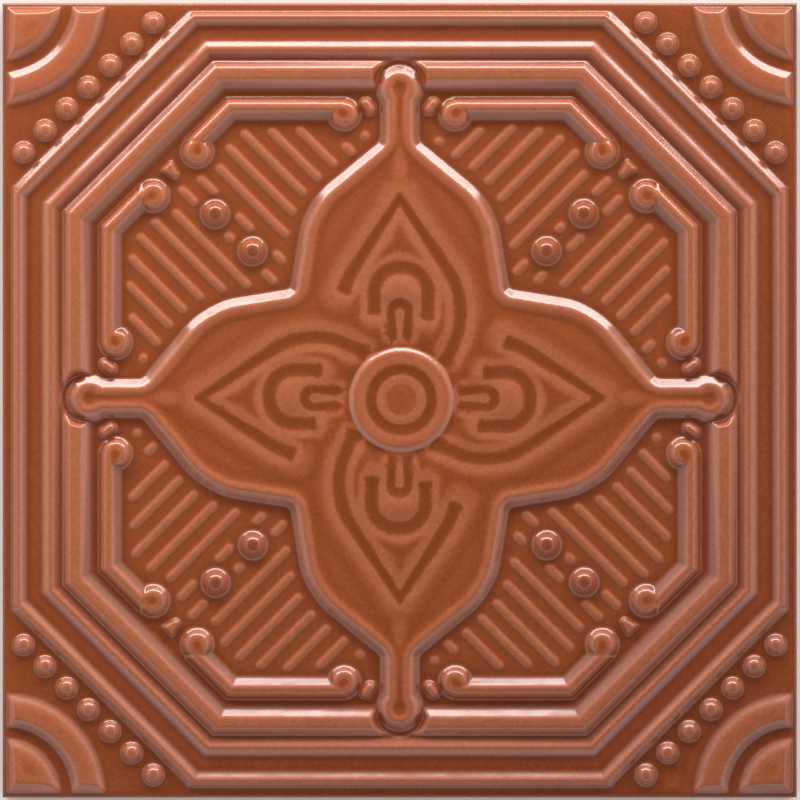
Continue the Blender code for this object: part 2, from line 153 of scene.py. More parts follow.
# Corner steps: a quarter disc and a quarter ring round it in each corner, pressed with the tile,
# with soft slopes. Both end square, a little inside the tile's straight edges.
ring_outer = 0.0269
ring_facets = 160
step_section = [
    (0, slab_top), (0.0007, 0.00768), (0.0016, 0.0082), (0.0024, 0.00875),
    (0.003, 0.00905), (0.0037, 0.0092), (0.0046, 0.00927), (0.006, 0.00927),
    (0.0069, 0.00922), (0.00725, 0.0091), (0.0075, 0.00893), (0.0092, 0.00773),
    (0.0095, 0.00758), (0.0099, 0.0075), (0.0106, 0.00748), (0.0114, 0.00752),
    (0.0119, 0.00766), (0.0123, 0.0079), (0.0138, 0.00885), (0.0142, 0.00905),
    (0.0148, 0.00922), (0.0158, 0.00933), (0.0175, 0.00942), (0.021, 0.0095),
]
end_start = 0.0008
end_floor = 0.0073
end_section = [
    (end_start, end_floor), (0.0011, 0.0076), (0.00135, 0.00785), (0.0034, 0.0095),
    (0.0037, 0.0098), (0.0042, 0.0106),
]


def copies_round(form):
    """Copies a form, each copy with its own mesh, three times round the tile's middle."""
    made = []
    for turn in range(1, 4):
        copy = form.copy()
        copy.data = form.data.copy()
        copy.data.transform(Matrix.Rotation(math.pi / 2 * turn, 4, "Z"))
        bpy.context.scene.collection.objects.link(copy)
        made.append(copy)
    return made


def button(name, radius, section, place, facets):
    """A round raised form with its place in its mesh."""
    bpy.ops.object.select_all(action="DESELECT")
    bpy.ops.mesh.primitive_circle_add(vertices=facets, radius=radius, fill_type="NGON", location=place)
    bpy.ops.object.transform_apply(location=True, rotation=True, scale=True)
    made = bpy.context.object
    made.name = name
    bpy.ops.object.mode_set(mode="EDIT")
    press_steps(section)
    bpy.ops.object.mode_set(mode="OBJECT")
    return made


steps = button("corner_steps", ring_outer, step_section, (side / 2, side / 2, slab_top), ring_facets)
framing += [steps] + copies_round(steps)
bpy.ops.object.select_all(action="DESELECT")
bpy.ops.mesh.primitive_plane_add(size=side, location=(0, 0, end_floor))
ends = bpy.context.object
ends.name = "step_ends"
bpy.ops.object.mode_set(mode="EDIT")
bpy.ops.mesh.inset(thickness=end_start, depth=0)
press_steps(end_section)
bpy.ops.mesh.delete(type="FACE")
bpy.ops.object.mode_set(mode="OBJECT")
pressed = [ends]


# Corner beads: a row of seven round-topped studs with steep sides across each corner, pressed
# with the tile.
corner_bead_radius = 0.0031
corner_bead_line = 440.5 * pixel
corner_bead_pitch = 0.0077
corner_bead_count = 7
corner_bead_facets = 32
corner_bead_section = [
    (0, slab_top), (0.0002, 0.00767), (0.00035, 0.00777), (0.0006, 0.00797),
    (0.0008, 0.00818), (0.0014, 0.00882), (0.0017, 0.00909), (0.0019, 0.00923),
    (0.0022, 0.00936), (0.0026, 0.00943),
]


def on_diagonal(out, along):
    """A place in the upper right corner, out along the diagonal and along the line across it."""
    return ((out - along) * math.sqrt(0.5), (out + along) * math.sqrt(0.5))


for count in range(corner_bead_count):
    along = (count - (corner_bead_count - 1) / 2) * corner_bead_pitch
    place = (*on_diagonal(corner_bead_line, along), slab_top)
    bead = button("corner_bead", corner_bead_radius, corner_bead_section, place, corner_bead_facets)
    framing += [bead] + copies_round(bead)


# Knob notches: the frame's band is pressed away round the four knobs of the flower, so each knob
# stands free in a round hollow.
notch_reach = 0.0795
notch_mouth_radius = 0.0080
notch_mouth_height = 0.0110
notch_facets = 64
notch_section = [
    (0, notch_mouth_height), (0.0010, 0.0090), (0.0017, 0.0083), (0.0023, 0.0077),
    (0.0028, floor_top),
]
notch_place = (0, notch_reach, notch_mouth_height)
notch = button("notch", notch_mouth_radius, notch_section, notch_place, notch_facets)
pressed += [notch] + copies_round(notch)


# Rail fillets: across each corner of the frame the rail's outer side is laid back to a broader,
# gentler slope than it has along the straight sides.
fillet_out = 0.1069
fillet_in = 0.1021
fillet_half = 0.0322
fillet_section = [
    (0, slab_top), (0.0003, 0.0077), (0.0006, 0.0079), (0.0022, 0.00912), (0.00235, 0.0092),
]

bpy.ops.object.select_all(action="DESELECT")
bpy.ops.mesh.primitive_plane_add(size=1, location=(0, 0, slab_top))
fillet = bpy.context.object
fillet.name = "rail_fillet"
fillet.data.transform(Matrix.Diagonal((fillet_out - fillet_in, 2 * fillet_half, 1, 1)))
fillet.data.transform(Matrix.Translation(((fillet_out + fillet_in) / 2, 0, 0)))
fillet.data.transform(Matrix.Rotation(math.radians(45), 4, "Z"))
bpy.ops.object.mode_set(mode="EDIT")
bpy.ops.mesh.select_all(action="SELECT")
press_steps(fillet_section)
bpy.ops.mesh.delete(type="FACE")
bpy.ops.object.mode_set(mode="OBJECT")
framing += [fillet] + copies_round(fillet)


# Frame sheet: one fine sheet of clay, laid over the forms of the frame and the corners, and then
# pressed down where the corner steps end and round the knobs.
sheet_steps = 796
sheet_margin = 0.0008
sheet_size = side - 2 * sheet_margin
sheet_from = 0.02


def joined(forms, name):
    """Joins forms into one."""
    bpy.ops.object.select_all(action="DESELECT")
    for form in forms:
        form.select_set(True)
    bpy.context.view_layer.objects.active = forms[0]
    bpy.ops.object.join()
    forms[0].name = name
    return forms[0]


def press_down(face, forms, name):
    """Presses the face straight down onto the forms."""
    bpy.context.view_layer.objects.active = face
    step = face.modifiers.new(name, "SHRINKWRAP")
    step.target = forms
    step.wrap_method = "PROJECT"
    step.use_project_z = True
    step.use_negative_direction = True
    step.use_positive_direction = False
    bpy.ops.object.modifier_apply(modifier=name)


def clay_sheet(name, raised_parts, pressed_parts):
    """A fine sheet laid over raised parts and then pressed down with other parts."""
    raised_form = joined(raised_parts, name + "_raised")
    bpy.ops.object.select_all(action="DESELECT")
    bpy.ops.mesh.primitive_grid_add(
        x_subdivisions=sheet_steps,
        y_subdivisions=sheet_steps,
        size=sheet_size,
        location=(0, 0, sheet_from),
    )
    bpy.ops.object.transform_apply(location=True, rotation=True, scale=True)
    sheet = bpy.context.object
    sheet.name = name
    press_down(sheet, raised_form, "lay")
    bpy.data.objects.remove(raised_form)
    if pressed_parts:
        pressed_form = joined(pressed_parts, name + "_pressed")
        press_down(sheet, pressed_form, "press")
        bpy.data.objects.remove(pressed_form)
    return sheet


frame_sheet = clay_sheet("frame_sheet", framing, pressed)
raised = [frame_sheet]


# Hatching: low round ribs on the field's floor, pressed with it. They run one way in each
# quarter and stop clear of the flower, the beads and the brackets.
rib_pitch = 20.97 * pixel
rib_start = 6.8 * pixel
rib_half_width = 0.0011
rib_height = 0.0005
rib_softening = 12
# Each rib: its line, counted across the quarter, and where it starts and ends, in pixels.
ribs = (
    (-8, 206, 214), (-7, 204, 220), (-6, 209, 264), (-5, 210, 283), (-4, 210, 301),
    (-3, 204, 301), (-2, 193, 294), (-1, 177, 193), (-1, 222, 246), (-1, 273, 300),
    (0, 168, 188), (0, 228, 240), (0, 280, 305), (1, 184, 293), (2, 199, 302),
    (3, 209, 301), (4, 212, 292), (5, 211, 275), (6, 207, 250), (7, 205, 214),
)


def soften(face, passes):
    """Evens out the face's heights, with its edge held."""
    bpy.context.view_layer.objects.active = face
    step = face.modifiers.new("soften", "SMOOTH")
    step.factor = 0.5
    step.iterations = passes
    step.use_x = False
    step.use_y = False
    bpy.ops.object.modifier_apply(modifier="soften")


bpy.ops.object.select_all(action="DESELECT")
bpy.ops.mesh.primitive_plane_add(size=side, location=(0, 0, floor_top))
hatching = [bpy.context.object]
outward = Vector((math.sqrt(0.5), math.sqrt(0.5), 0))
for line, begin, end in ribs:
    x, y = on_diagonal(begin * pixel + rib_half_width, rib_start + rib_pitch * line)
    bpy.ops.object.select_all(action="DESELECT")
    bpy.ops.mesh.primitive_uv_sphere_add(
        segments=24,
        ring_count=16,
        radius=rib_half_width,
        location=(x, y, 0),
        rotation=(0, math.pi / 2, 0),
    )
    bpy.ops.object.transform_apply(location=True, rotation=True, scale=True)
    rib = bpy.context.object
    rib.name = "rib"
    length = max((end - begin) * pixel - 2 * rib_half_width, 0)
    for vertex in rib.data.vertices:
        if (vertex.co - Vector((x, y, 0))).dot(outward) > 0:
            vertex.co += outward * length
    rib.data.transform(Matrix.Diagonal((1, 1, rib_height / rib_half_width, 1)))
    rib.data.transform(Matrix.Translation((0, 0, floor_top)))
    hatching += [rib] + copies_round(rib)
hatch_sheet = clay_sheet("hatch_sheet", hatching, [])
soften(hatch_sheet, rib_softening)
raised.append(hatch_sheet)


# Brackets: eight round-topped bars that follow the frame, pressed with the tile. Each is bent at
# the frame's corner, falls steeply on one side and gently on the other, and ends in two dished
# knuckles, whose tops are painted darker as painted shade.
bar_crest = 291.0 * pixel
bar_crest_cut = 325.3 * pixel
bar_start = 50 * pixel
bar_end = 29 * pixel
steep_foot = 0.0030
steep_section = [
    (0, floor_top), (0.00025, 0.00756), (0.00045, 0.00772), (0.00185, 0.00902),
    (0.0021, 0.00922), (0.0024, 0.00938), (0.0027, 0.00946), (0.003, 0.00948),
]
gentle_outer_foot = 0.0030
gentle_inner_foot = 0.0037
gentle_section = [
    (0, floor_top), (0.0004, 0.00756), (0.00075, 0.00774), (0.00295, 0.00932),
    (0.0032, 0.00944), (0.0035, 0.00949),
]
knuckle_radius = 0.0047
knuckle_facets = 48
# Painted shade: the knuckle tops are painted darker out to this radius, by this much on the pool scale.
knuckle_shade_radius = 0.75 * knuckle_radius
knuckle_shade_depth = 0.00013
knuckle_near = (55.5 * pixel, 284.0 * pixel)
knuckle_far = (202.6 * pixel, 246.6 * pixel)
knuckle_section = [
    (0, floor_top), (0.0002, 0.00755), (0.0004, 0.00766), (0.0009, 0.00802),
    (0.0012, 0.00832), (0.0019, 0.00902), (0.0022, 0.00926), (0.0025, 0.0094),
    (0.0029, 0.00945), (0.0034, 0.00943), (0.004, 0.0094),
]


def at_height(points, height):
    """Flat points put at a height."""
    return [(x, y, height) for x, y in points]


def pick_points(places):
    """In edit mode, selects only the points at these places."""
    bm = bmesh.from_edit_mesh(bpy.context.edit_object.data)
    bpy.ops.mesh.select_mode(type="VERT")
    for vertex in bm.verts:
        vertex.select_set(any((vertex.co.xy - Vector(place[:2])).length < 1e-5 for place in places))
    bmesh.update_edit_mesh(bpy.context.edit_object.data)


def draw(points, closed=False):
    """Starts a new piece and draws a line through the points, in edit mode."""
    bpy.ops.object.select_all(action="DESELECT")
    bpy.ops.mesh.primitive_plane_add(size=side, location=(0, 0, 0))
    bpy.ops.object.mode_set(mode="EDIT")
    bpy.ops.mesh.select_mode(type="VERT")
    bpy.ops.mesh.merge(type="CENTER")
    here = Vector(points[0])
    bpy.ops.transform.translate(value=here)
    for point in points[1:]:
        there = Vector(point)
        bpy.ops.mesh.extrude_vertices_move(TRANSFORM_OT_translate={"value": there - here})
        here = there
    if closed:
        pick_points([points[0], points[-1]])
        bpy.ops.mesh.edge_face_add()
    return bpy.context.edit_object


def fill_line():
    """Fills the closed line with one face that looks up."""
    bpy.ops.mesh.select_all(action="SELECT")
    bpy.ops.mesh.edge_face_add()
    pick_faces(lambda face: True)
    bpy.ops.mesh.normals_make_consistent(inside=False)
    bm = bmesh.from_edit_mesh(bpy.context.edit_object.data)
    bm.faces.ensure_lookup_table()
    if bm.faces[0].normal.z < 0:
        bpy.ops.mesh.flip_normals()


def mirrored_copies(form):
    """Copies a form mirrored across the diagonal, and that copy round the tile's middle."""
    copy = form.copy()
    copy.data = form.data.copy()
    swap = Matrix(((0, 1, 0, 0), (1, 0, 0, 0), (0, 0, 1, 0), (0, 0, 0, 1)))
    copy.data.transform(swap)
    copy.data.flip_normals()
    bpy.context.scene.collection.objects.link(copy)
    return [copy] + copies_round(copy)


def bar_line(offset):
    """The bar's line at this offset outside its crest: start, bend and end."""
    y = bar_crest + offset
    cut = bar_crest_cut + offset
    bend = (cut * math.sqrt(2) - y, y)
    return [(bar_start, y), bend, on_diagonal(cut, bar_end)]


def raised_bar(name, outer, inner, section):
    """The upper bracket bar and its copies, between an outer and an inner foot line."""
    line = bar_line(outer) + bar_line(-inner)[::-1]
    bar = draw(at_height(line, floor_top), closed=True)
    fill_line()
    press_steps(section)
    bpy.ops.object.mode_set(mode="OBJECT")
    bar.name = name
    return [bar] + copies_round(bar) + mirrored_copies(bar)


raised += raised_bar("steep_side", steep_foot, steep_foot, steep_section)
raised += raised_bar("gentle_side", gentle_outer_foot, gentle_inner_foot, gentle_section)
# Places of painted shade: tops painted darker, each with its reach and how much darker.
painted_shade_tops = []
for place in (knuckle_near, knuckle_far):
    painted_shade_tops.append((*place, knuckle_shade_radius, knuckle_shade_depth))
    painted_shade_tops.append((*place[::-1], knuckle_shade_radius, knuckle_shade_depth))
    knuckle = button("knuckle", knuckle_radius, knuckle_section, (*place, floor_top), knuckle_facets)
    raised += [knuckle] + copies_round(knuckle) + mirrored_copies(knuckle)


# Studs and wedges: clay that is left standing between the knuckles, as a short slanting stud on
# each side of every knob and a small wedge behind each pair of far knuckles.
stud_from = (29.5 * pixel, 289.0 * pixel)
stud_to = (34.0 * pixel, 295.0 * pixel)
stud_radius = 0.0018
stud_facets = 24
stud_section = [(0, floor_top), (0.0003, 0.0077), (0.0008, 0.0086), (0.0013, 0.0091), (0.0017, 0.0092)]
wedge_corners = ((331, 9.5), (331, -8), (322, -5.5), (313, -2.8), (313, 4.4), (322, 6.8))
wedge_section = [(0, floor_top), (0.0002, 0.0077), (0.0005, 0.0085), (0.0008, 0.0089)]

bpy.ops.object.select_all(action="DESELECT")
bpy.ops.mesh.primitive_circle_add(
    vertices=stud_facets, radius=stud_radius, fill_type="NGON", location=(*stud_from, floor_top)
)
bpy.ops.object.transform_apply(location=True, rotation=True, scale=True)
stud = bpy.context.object
stud.name = "stud"
lean = Vector((*stud_to, 0)) - Vector((*stud_from, 0))
for vertex in stud.data.vertices:
    if (vertex.co - Vector((*stud_from, floor_top))).dot(lean) > 0:
        vertex.co += lean
bpy.ops.object.mode_set(mode="EDIT")
press_steps(stud_section)
bpy.ops.object.mode_set(mode="OBJECT")
raised += [stud] + copies_round(stud) + mirrored_copies(stud)

wedge_line = [on_diagonal(out * pixel, along * pixel) for out, along in wedge_corners]
wedge = draw(at_height(wedge_line, floor_top), closed=True)
fill_line()
press_steps(wedge_section)
bpy.ops.object.mode_set(mode="OBJECT")
wedge.name = "wedge"
raised += [wedge] + copies_round(wedge)


# Field beads: two round beads on each diagonal of the field, pressed with it. Each has a rim
# round its top, and the top is painted darker as painted shade.
field_bead_radius = 0.0042
field_bead_facets = 40
# Painted shade: the field bead tops are painted darker out to this radius, by this much on the pool
# scale.
field_bead_shade_radius = 0.7 * field_bead_radius
field_bead_shade_depth = 0.0005
field_bead_places = ((208.0, 0.2), (260.8, 0.3))
field_bead_section = [
    (0, floor_top), (0.0002, 0.00754), (0.0004, 0.00764), (0.0009, 0.008),
    (0.0012, 0.0083), (0.0022, 0.0093), (0.0026, 0.0096), (0.0029, 0.00975),
    (0.0033, 0.00984), (0.0038, 0.00986),
]
for out, along in field_bead_places:
    place = (*on_diagonal(out * pixel, along * pixel), floor_top)
    painted_shade_tops.append((*place[:2], field_bead_shade_radius, field_bead_shade_depth))
    bead = button("field_bead", field_bead_radius, field_bead_section, place, field_bead_facets)
    raised += [bead] + copies_round(bead)


# Flower: a rounded crest that follows the outline of four petals, and the dished field inside
# it, pressed with the tile. Each petal ends in a neck with a round knob.
dish_top = 0.0090
dish_margin = 0.0019
neck_half = 0.0051
knob_middle = 0.0779
knob_radius = 0.0062
knob_facets = 32
neck_turn = (0.0051, 0.0649)
shoulder = (0.0242, 0.0492)
valley = (0.0277, 0.0277)
neck_rounding = (0.00093, 5)
shoulder_rounding = (0.0078, 14)
valley_rounding = (0.0010, 5)
crest_section = [
    (0, floor_top), (0.00025, 0.0076), (0.00045, 0.00778), (0.0022, 0.00914),
    (0.0025, 0.00935), (0.0028, 0.00947), (0.0031, 0.00952), (0.0035, 0.0095),
    (0.004, 0.0094), (0.0046, 0.00925), (0.0054, 0.0091), (0.006, 0.00902),
]


def turned(points, quarter):
    """Points turned about the middle by so many quarters of a turn."""
    for _ in range(quarter % 4):
        points = [(-y, x) for x, y in points]
    return points


def round_corners(corners, offset, facets):
    """In edit mode, rounds the drawn line's corners, starting this far before each of them."""
    pick_points(corners)
    bpy.ops.mesh.bevel(offset=offset, segments=facets, affect="VERTICES")


knob_opening = math.acos(neck_half / knob_radius)
knob_points = []
for facet in range(knob_facets + 1):
    angle = math.pi + knob_opening - (math.pi + 2 * knob_opening) * facet / knob_facets
    knob_points.append((knob_radius * math.cos(angle), knob_middle + knob_radius * math.sin(angle)))
petal = [(-shoulder[0], shoulder[1]), (-neck_turn[0], neck_turn[1])] + knob_points
petal += [neck_turn, shoulder, valley]
outline = [point for quarter in (0, 3, 2, 1) for point in turned(petal, quarter)]
crest = draw(at_height(outline, floor_top), closed=True)
for corner, rounding in (
    (neck_turn, neck_rounding),
    (shoulder, shoulder_rounding),
    (valley, valley_rounding),
):
    pair = [corner, (-corner[0], corner[1])]
    round_corners([place for quarter in range(4) for place in turned(pair, quarter)], *rounding)
fill_line()
bpy.ops.object.mode_set(mode="OBJECT")
crest.name = "crest"
dish = crest.copy()
dish.data = crest.data.copy()
dish.name = "dish"
bpy.context.scene.collection.objects.link(dish)
dish.select_set(False)
bpy.ops.object.mode_set(mode="EDIT")
press_steps(crest_section)
bpy.ops.mesh.delete(type="FACE")
bpy.ops.object.mode_set(mode="OBJECT")
raised.append(crest)

bpy.ops.object.select_all(action="DESELECT")
bpy.context.view_layer.objects.active = dish
dish.select_set(True)
bpy.ops.object.mode_set(mode="EDIT")
bpy.ops.mesh.select_all(action="SELECT")
bpy.ops.mesh.inset(thickness=dish_margin, depth=0)
bpy.ops.mesh.select_all(action="INVERT")
bpy.ops.mesh.delete(type="FACE")
bpy.ops.mesh.select_all(action="SELECT")
bpy.ops.transform.translate(value=(0, 0, dish_top - floor_top))
bpy.ops.object.mode_set(mode="OBJECT")
petals = [dish]


# Petal banks: inside the flower the clay swells to broad soft banks, which carry the petal's
# grooves and sweep from each petal round the hub.
bank_radius = 0.0110
bank_top = 0.0097
bank_flatness = 0.30
inner_bank_top = 0.00975
chevron_left = [(-0.0143, 0.0264), (-0.0124, 0.0313), (0.0, 0.0502)]
chevron_right = [(0.0, 0.0502), (0.0178, 0.0235), (0.0112, 0.0082)]
arch_path = [(-0.0062, 0.0210), (-0.0070, 0.0328), (0.0076, 0.0328), (0.0068, 0.0197)]
eye_path = [(-0.0016, 0.0150), (-0.0024, 0.0236), (0.0024, 0.0236), (0.0016, 0.0150)]
swell_path = [(-0.0034, 0.0262), (0.0, 0.0282), (0.0034, 0.0262)]
neck_path = [(0.0, 0.0540), (0.0, 0.0700)]
# Each bend: the path's corner, how far before it the rounding starts, and the facets it has.
left_bend = (chevron_left[1], 0.0022, 5)
right_bend = (chevron_right[1], 0.0095, 14)
arch_bends = [(arch_path[1], 0.0069, 10), (arch_path[2], 0.0069, 10)]
eye_bends = [(eye_path[1], 0.0023, 6), (eye_path[2], 0.0023, 6)]
swell_bend = (swell_path[1], 0.002, 5)


def round_bar(name, points, bends, radius):
    """A round bar along a path, at height 0."""
    path = draw(at_height(points, 0))
    for corner, offset, facets in bends:
        round_corners([corner], offset, facets)
    bpy.ops.object.mode_set(mode="OBJECT")
    path.name = name
    bpy.ops.object.convert(target="CURVE")
    path = bpy.context.object
    path.data.bevel_depth = radius
    path.data.bevel_resolution = 8
    bpy.ops.object.convert(target="MESH")
    return bpy.context.object


def bank(name, points, bends, radius, top, flatness):
    """A soft bank along a path: a round bar with round ends, flattened and sunk to its height."""
    bar = round_bar(name, points, bends, radius)
    parts = [bar]
    for place in (points[0], points[-1]):
        bpy.ops.object.select_all(action="DESELECT")
        bpy.ops.mesh.primitive_uv_sphere_add(
            segments=48, ring_count=24, radius=radius, location=(*place, 0)
        )
        bpy.ops.object.transform_apply(location=True, rotation=True, scale=True)
        parts.append(bpy.context.object)
    joined(parts, name)
    bar.data.transform(Matrix.Diagonal((1, 1, flatness, 1)))
    bar.data.transform(Matrix.Translation((0, 0, top - radius * flatness)))
    return bar


banks = [
    bank("left_bank", chevron_left, [left_bend], bank_radius, bank_top, bank_flatness),
    bank("right_bank", chevron_right, [right_bend], bank_radius, bank_top, bank_flatness),
    bank("arch_bank", arch_path, arch_bends, 0.0080, inner_bank_top, bank_flatness),
    bank("eye_bank", eye_path, eye_bends, 0.0060, inner_bank_top, 0.35),
    bank("swell", swell_path, [swell_bend], 0.0036, 0.0100, bank_flatness),
    bank("neck_bank", neck_path, [], 0.0040, 0.0094, bank_flatness),
]
for made in banks:
    petals += [made] + copies_round(made)


# Grooves: pressed into the banks with blunt round tools. Each petal has a bent chevron with one
# long leg that runs on to the hub, an arch inside it, and a narrow eye inside the arch.
groove_radius = 0.0029
eye_radius = 0.0017
groove_bottom = 0.0086
chevron_path = chevron_left + chevron_right[1:]
tools = (
    ("chevron_tool", chevron_path, [left_bend, right_bend], groove_radius),
    ("arch_tool", arch_path, arch_bends, groove_radius),
    ("eye_tool", eye_path, eye_bends, eye_radius),
)
carved = []
for name, path, bends, radius in tools:
    tool = round_bar(name, path, bends, radius)
    tool.data.transform(Matrix.Translation((0, 0, groove_bottom + radius)))
    carved += [tool] + copies_round(tool)


# Hub: a turned boss a little out of the middle, with a dished disc, a channel and a round ring
# with a steep outer side. A tool presses the clay's form, and the face is the glaze over it.
# The profiles give points of (distance from the hub's middle, height).
hub_place = (0.0004, -0.0004, 0)
hub_radius = 0.0132
hub_blank_section = [(0, floor_top), (0.0001, 0.0102)]
hub_tool_facets = 96
hub_tool_profile = (
    (0.0, 0.00945), (0.0030, 0.0095), (0.0044, 0.0097), (0.0052, 0.00985),
    (0.0058, 0.0097), (0.0064, 0.0091), (0.0070, 0.0087), (0.0080, 0.0087),
    (0.0086, 0.0091), (0.0092, 0.0097), (0.0100, 0.00995), (0.0120, 0.0100),
    (0.0128, 0.0101), (0.0140, 0.0110),
)
hub_face_facets = 128
hub_face_profile = (
    (0.0, 0.00955), (0.0040, 0.00956), (0.0054, 0.00966), (0.0066, 0.00952),
    (0.0078, 0.00952), (0.0092, 0.00974), (0.0100, 0.00982), (0.0114, 0.00984),
    (0.0118, 0.0098), (0.0122, 0.00964), (0.0132, 0.0089), (0.0136, 0.0087),
)
hub_hollow = 0.0156
hub_hollow_floor = 0.0088


def turn_on_wheel(name, profile, facets):
    """A form turned from a profile round the hub's middle."""
    form = draw([(across, 0, height) for across, height in profile])
    bpy.ops.mesh.select_all(action="SELECT")
    bpy.ops.mesh.spin(steps=facets, angle=math.tau, center=(0, 0, 0), axis=(0, 0, 1))
    bpy.ops.mesh.select_all(action="SELECT")
    bpy.ops.mesh.remove_doubles(threshold=1e-6)
    bpy.ops.object.mode_set(mode="OBJECT")
    form.data.transform(Matrix.Translation(hub_place))
    form.name = name
    return form


blank_place = (*hub_place[:2], floor_top)
petals.append(button("hub_blank", hub_radius, hub_blank_section, blank_place, hub_tool_facets))
carved.append(turn_on_wheel("hub_tool", hub_tool_profile, hub_tool_facets))
hub_face = turn_on_wheel("hub_face", hub_face_profile, hub_face_facets)


# Clay face: one fine sheet of clay lies over the petals and is pressed by the tools, one lies
# over the hub, and one over the frame, the hatching and the other raised forms.
bed_top = slab_top - 0.001


def clay_bed():
    """A flat bed of clay under the forms of a sheet."""
    bpy.ops.object.select_all(action="DESELECT")
    bpy.ops.mesh.primitive_plane_add(size=side, location=(0, 0, bed_top))
    return bpy.context.object


petals.append(clay_bed())
hub_sheet = clay_sheet("hub_sheet", [hub_face, clay_bed()], [])
petal_sheet = clay_sheet("petal_sheet", petals, carved)
tile = clay_sheet("glazed_tile", raised, [])


# Glaze face: the melted glaze has filled the petals' grooves and the foot of every slope, and
# lies in a thin film over the crests. The tile's own face takes its heights.
groove_filling = 500
first_softening = 3
foot_filling = 8
last_softening = 2
glaze_film = 0.00002


def points_of(piece):
    """A piece's points, one row each."""
    flat = np.empty(len(piece.data.vertices) * 3, np.float32)
    piece.data.vertices.foreach_get("co", flat)
    return flat.reshape(-1, 3)


def move_points(piece, points):
    """Moves a piece's points to these places."""
    piece.data.vertices.foreach_set("co", points.ravel())
    piece.data.update()


def heights(piece):
    """The heights of a piece's points."""
    return points_of(piece)[:, 2].copy()


def set_heights(piece, values):
    """Moves a piece's points up or down to these heights."""
    points = points_of(piece)
    points[:, 2] = values
    move_points(piece, points)


def softened(piece, values, passes):
    """What heights on the piece's points become after softening."""
    copy = piece.copy()
    copy.data = piece.data.copy()
    bpy.context.scene.collection.objects.link(copy)
    bpy.ops.object.select_all(action="DESELECT")
    set_heights(copy, values)
    soften(copy, passes)
    found = heights(copy)
    bpy.data.objects.remove(copy)
    return found


def from_place(piece, place):
    """How far each of a piece's points is from a place, seen from above."""
    points = points_of(piece)
    return np.hypot(points[:, 0] - place[0], points[:, 1] - place[1])


framing_clay = heights(tile)
petal_clay = heights(petal_sheet)
hub_glaze = heights(hub_sheet)
bpy.data.objects.remove(petal_sheet)
bpy.data.objects.remove(hub_sheet)

in_hollow = from_place(tile, hub_place) < hub_hollow
petal_bed = np.where(in_hollow, np.minimum(petal_clay, hub_hollow_floor), petal_clay)
filled = np.maximum(framing_clay, softened(tile, petal_bed, groove_filling))
filled = softened(tile, np.maximum(filled, hub_glaze), first_softening)
filled = np.maximum(filled, softened(tile, filled, foot_filling) - glaze_film)
set_heights(tile, softened(tile, filled, last_softening))


# Glaze pools and painted shade: how deep the glaze lies, from how far the clay is below what
# surrounds it, with painted shade added on the tops of the knuckles and field beads. The attribute
# keeps both, the pools and the painted shade, for the glaze's colour.
pool_wide = 180
pool_close = 32

clay = np.maximum(framing_clay, petal_clay)
glaze_pool_and_shade = softened(tile, clay, pool_wide) - softened(tile, clay, pool_close)
# Painted shade: each top is painted darker, fully over its inner half and fading out to its radius.
for x, y, top_radius, shade_added in painted_shade_tops:
    for turn in range(4):
        glaze_pool_and_shade += shade_added * np.clip(2 * (1 - from_place(tile, (x, y)) / top_radius), 0, 1)
        x, y = -y, x
pool = tile.data.attributes.new("glaze_pool_and_shade", "FLOAT", "POINT")
pool.data.foreach_set("value", glaze_pool_and_shade)


# Print, edge and back: the print was set a little above the tile's middle in the mould. The
# face's edge is rounded, the sides are cut straight, and the back is flat with a small chamfer.
print_shift = 0.0006
edge_hold = 40
edge_rounding = 0.00079
edge_facets = 4
back_chamfer = 0.0006
thin_share = 0.148
smooth_angle = math.radians(40)


def in_point_order(bm):
    """Sorts edges and faces, so that what follows comes out the same on each run."""
    bm.verts.index_update()
    spread = 4 * len(bm.verts)

    def place_in_order(part):
        indices = [vertex.index for vertex in part.verts]
        return min(indices) * spread + sum(indices)

    bm.edges.sort(key=place_in_order)
    bm.faces.sort(key=place_in_order)


# Over the print inward is 1, and it falls to 0 close to the edge, which stays where it is.
points = points_of(tile)
inward = 1 - (np.abs(points[:, :2]).max(axis=1) / (sheet_size / 2)) ** edge_hold
points[:, 1] += print_shift * inward
move_points(tile, points)

bpy.ops.object.select_all(action="DESELECT")
bpy.context.view_layer.objects.active = tile
tile.select_set(True)
bpy.ops.object.mode_set(mode="EDIT")
bpy.ops.mesh.select_mode(type="EDGE")
bpy.ops.mesh.select_all(action="SELECT")
bpy.ops.mesh.region_to_loop()
for facet in range(1, edge_facets + 1):
    before = math.radians(90 * (facet - 1) / edge_facets)
    after = math.radians(90 * facet / edge_facets)
    out = edge_rounding * (math.sin(after) - math.sin(before))
    down = edge_rounding * (math.cos(before) - math.cos(after))
    half = sheet_size / 2 + edge_rounding * math.sin(before)
    bpy.ops.mesh.extrude_edges_move(TRANSFORM_OT_translate={"value": (0, 0, -down)})
    grow = (half + out) / half
    bpy.ops.transform.resize(value=(grow, grow, 1), center_override=(0, 0, 0))
bpy.ops.mesh.extrude_edges_move(TRANSFORM_OT_translate={"value": (0, 0, 0)})
bm = bmesh.from_edit_mesh(tile.data)
for vertex in bm.verts:
    if vertex.select:
        vertex.co.z = back_chamfer
bmesh.update_edit_mesh(tile.data)
bpy.ops.mesh.extrude_edges_move(TRANSFORM_OT_translate={"value": (0, 0, -back_chamfer)})
shrink = (side / 2 - back_chamfer) / (side / 2)
bpy.ops.transform.resize(value=(shrink, shrink, 1), center_override=(0, 0, 0))
in_point_order(bmesh.from_edit_mesh(tile.data))
bmesh.update_edit_mesh(tile.data)
bpy.ops.mesh.edge_face_add()
bpy.ops.object.mode_set(mode="OBJECT")

thin = tile.modifiers.new("thin", "DECIMATE")
thin.ratio = thin_share
bpy.ops.object.modifier_apply(modifier="thin")
bpy.ops.object.select_all(action="DESELECT")
tile.select_set(True)
bpy.context.view_layer.objects.active = tile
bpy.ops.object.shade_smooth_by_angle(angle=smooth_angle)
